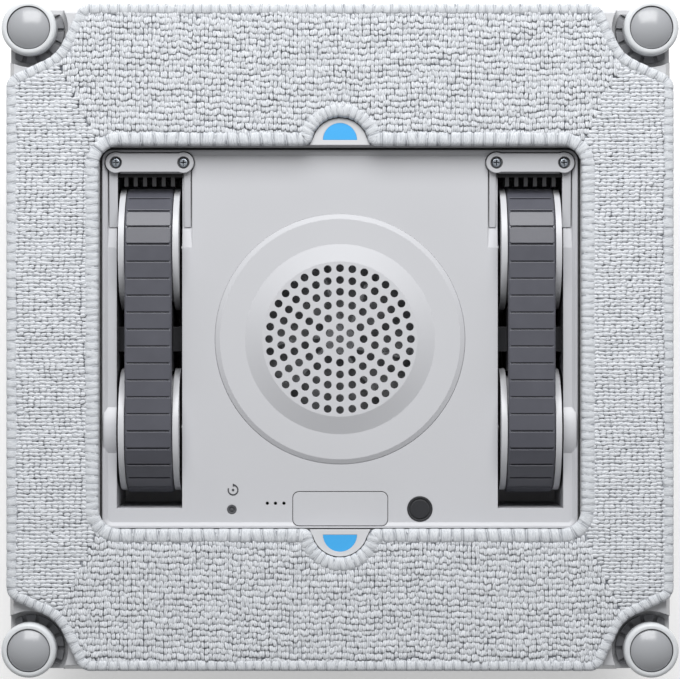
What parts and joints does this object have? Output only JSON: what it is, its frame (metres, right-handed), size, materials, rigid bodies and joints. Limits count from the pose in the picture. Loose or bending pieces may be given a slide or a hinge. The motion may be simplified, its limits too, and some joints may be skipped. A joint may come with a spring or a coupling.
{
  "type": "window cleaning robot",
  "caption": "Square window cleaning robot on its back: fringed pad with corner notches, two tracks, suction grille, corner rollers with sensing domes.",
  "frame": {"origin": "centre of the object's box on the flat rear face that it rests on", "axes": "+Z points out of the cleaning face, away from the rear face; +Y is the top edge in the picture, +X its right"},
  "size_m": [0.2714, 0.2714, 0.0775],
  "materials": {
    "casing": "satin",
    "panel": "satin",
    "grille": "satin",
    "brace_plastic": "satin",
    "tab_plastic": "satin",
    "blue_mark": "satin",
    "hook_tape": "matte",
    "microfibre": "matte",
    "dark_plastic": "matte",
    "black_plastic": "matte",
    "belt_rubber": "matte",
    "wheel_plastic": "satin",
    "shaft_steel": "brushed",
    "screw_steel": "satin",
    "spring_steel": "bright",
    "gearbox_plastic": "matte",
    "motor_can": "satin",
    "impeller_plastic": "satin",
    "board_green": "satin",
    "battery_wrap": "gloss",
    "button_grey": "satin",
    "button_black": "satin",
    "light_ring": "gloss",
    "icon_ink": "matte",
    "collar_plastic": "matte",
    "roller_plastic": "satin",
    "dome_plastic": "satin"
  },
  "bodies": {
    "root": {"base_frame": "casing", "rear_housing": "casing", "rear_cover": "casing", "grip_tray": "casing", "housing_screws": "screw_steel", "carry_handle": "dark_plastic", "underside_panel": "panel", "fan_grille": "grille", "hook_strips": "hook_tape", "cleaning_pad": "microfibre", "pad_tabs": "tab_plastic", "tab_marks": "blue_mark", "left_track_frame": "dark_plastic", "right_track_frame": "dark_plastic", "left_track_brace": "brace_plastic", "right_track_brace": "brace_plastic", "brace_screws": "screw_steel", "track_scrapers": "black_plastic", "left_belt": "belt_rubber", "right_belt": "belt_rubber", "left_idler_pin": "shaft_steel", "right_idler_pin": "shaft_steel", "left_gearbox": "gearbox_plastic", "right_gearbox": "gearbox_plastic", "left_drive_motor": "motor_can", "right_drive_motor": "motor_can", "fan_motor": "motor_can", "fan_scroll": "dark_plastic", "circuit_board": "board_green", "battery_pack": "battery_wrap", "status_light": "light_ring", "label_plate": "panel", "reset_icon": "icon_ink", "cord_gland": "black_plastic", "top_left_collar": "collar_plastic", "top_left_spring": "spring_steel", "top_right_collar": "collar_plastic", "top_right_spring": "spring_steel", "bottom_left_collar": "collar_plastic", "bottom_left_spring": "spring_steel", "bottom_right_collar": "collar_plastic", "bottom_right_spring": "spring_steel"},
    "left_drive": {"left_drive_wheel": "wheel_plastic", "left_drive_shaft": "shaft_steel"},
    "right_drive": {"right_drive_wheel": "wheel_plastic", "right_drive_shaft": "shaft_steel"},
    "left_idler": {"left_idler_wheel": "wheel_plastic"},
    "right_idler": {"right_idler_wheel": "wheel_plastic"},
    "fan_rotor": {"impeller": "impeller_plastic"},
    "reset_key": {"reset_button": "button_grey"},
    "power_key": {"power_button": "button_black"},
    "start_key": {"start_button": "button_black"},
    "tether_link": {"tether_ring": "shaft_steel"},
    "top_left_ring": {"top_left_roller": "roller_plastic"},
    "top_left_plunger": {"top_left_dome": "dome_plastic"},
    "top_right_ring": {"top_right_roller": "roller_plastic"},
    "top_right_plunger": {"top_right_dome": "dome_plastic"},
    "bottom_left_ring": {"bottom_left_roller": "roller_plastic"},
    "bottom_left_plunger": {"bottom_left_dome": "dome_plastic"},
    "bottom_right_ring": {"bottom_right_roller": "roller_plastic"},
    "bottom_right_plunger": {"bottom_right_dome": "dome_plastic"}
  },
  "joints": [
    {"name": "left_drive_spin", "type": "hinge", "parent": "root", "child": "left_drive", "pos_m": [-0.0768, -0.0367, 0.051], "axis": [1, 0, 0], "continuous": true},
    {"name": "left_idler_spin", "type": "hinge", "parent": "root", "child": "left_idler", "pos_m": [-0.0768, 0.0367, 0.051], "axis": [1, 0, 0], "continuous": true},
    {"name": "right_drive_spin", "type": "hinge", "parent": "root", "child": "right_drive", "pos_m": [0.0768, -0.0367, 0.051], "axis": [1, 0, 0], "continuous": true},
    {"name": "right_idler_spin", "type": "hinge", "parent": "root", "child": "right_idler", "pos_m": [0.0768, 0.0367, 0.051], "axis": [1, 0, 0], "continuous": true},
    {"name": "fan_spin", "type": "hinge", "parent": "root", "child": "fan_rotor", "pos_m": [0, 0, 0.05], "axis": [0, 0, 1], "continuous": true},
    {"name": "top_left_roller_spin", "type": "hinge", "parent": "root", "child": "top_left_ring", "pos_m": [-0.1247, 0.1247, 0.072], "axis": [0, 0, 1], "continuous": true},
    {"name": "top_right_roller_spin", "type": "hinge", "parent": "root", "child": "top_right_ring", "pos_m": [0.1247, 0.1247, 0.072], "axis": [0, 0, 1], "continuous": true},
    {"name": "bottom_left_roller_spin", "type": "hinge", "parent": "root", "child": "bottom_left_ring", "pos_m": [-0.1247, -0.1247, 0.072], "axis": [0, 0, 1], "continuous": true},
    {"name": "bottom_right_roller_spin", "type": "hinge", "parent": "root", "child": "bottom_right_ring", "pos_m": [0.1247, -0.1247, 0.072], "axis": [0, 0, 1], "continuous": true},
    {"name": "top_left_dome_press", "type": "slide", "parent": "root", "child": "top_left_plunger", "axis": [0, 0, -1], "range_m": [0, 0.0022], "stiffness_N_per_m": 200, "springref_m": -0.001, "deforming": ["top_left_spring"]},
    {"name": "top_right_dome_press", "type": "slide", "parent": "root", "child": "top_right_plunger", "axis": [0, 0, -1], "range_m": [0, 0.0022], "stiffness_N_per_m": 200, "springref_m": -0.001, "deforming": ["top_right_spring"]},
    {"name": "bottom_left_dome_press", "type": "slide", "parent": "root", "child": "bottom_left_plunger", "axis": [0, 0, -1], "range_m": [0, 0.0022], "stiffness_N_per_m": 200, "springref_m": -0.001, "deforming": ["bottom_left_spring"]},
    {"name": "bottom_right_dome_press", "type": "slide", "parent": "root", "child": "bottom_right_plunger", "axis": [0, 0, -1], "range_m": [0, 0.0022], "stiffness_N_per_m": 200, "springref_m": -0.001, "deforming": ["bottom_right_spring"]},
    {"name": "reset_press", "type": "slide", "parent": "root", "child": "reset_key", "axis": [0, 0, -1], "range_m": [0, 0.0008], "stiffness_N_per_m": 300, "springref_m": -0.001},
    {"name": "power_press", "type": "slide", "parent": "root", "child": "power_key", "axis": [0, 0, -1], "range_m": [0, 0.0012], "stiffness_N_per_m": 300, "springref_m": -0.001},
    {"name": "start_press", "type": "slide", "parent": "root", "child": "start_key", "axis": [0, 0, 1], "range_m": [0, 0.0015], "stiffness_N_per_m": 300, "springref_m": -0.001},
    {"name": "tether_swing", "type": "hinge", "parent": "root", "child": "tether_link", "pos_m": [0.05, 0.1212, 0.028], "axis": [1, 0, 0], "range_deg": [-10, 170]}
  ],
  "couplings": [
    {"joint": "left_idler_spin", "follows": "left_drive_spin", "ratio": 1},
    {"joint": "right_idler_spin", "follows": "right_drive_spin", "ratio": 1}
  ]
}
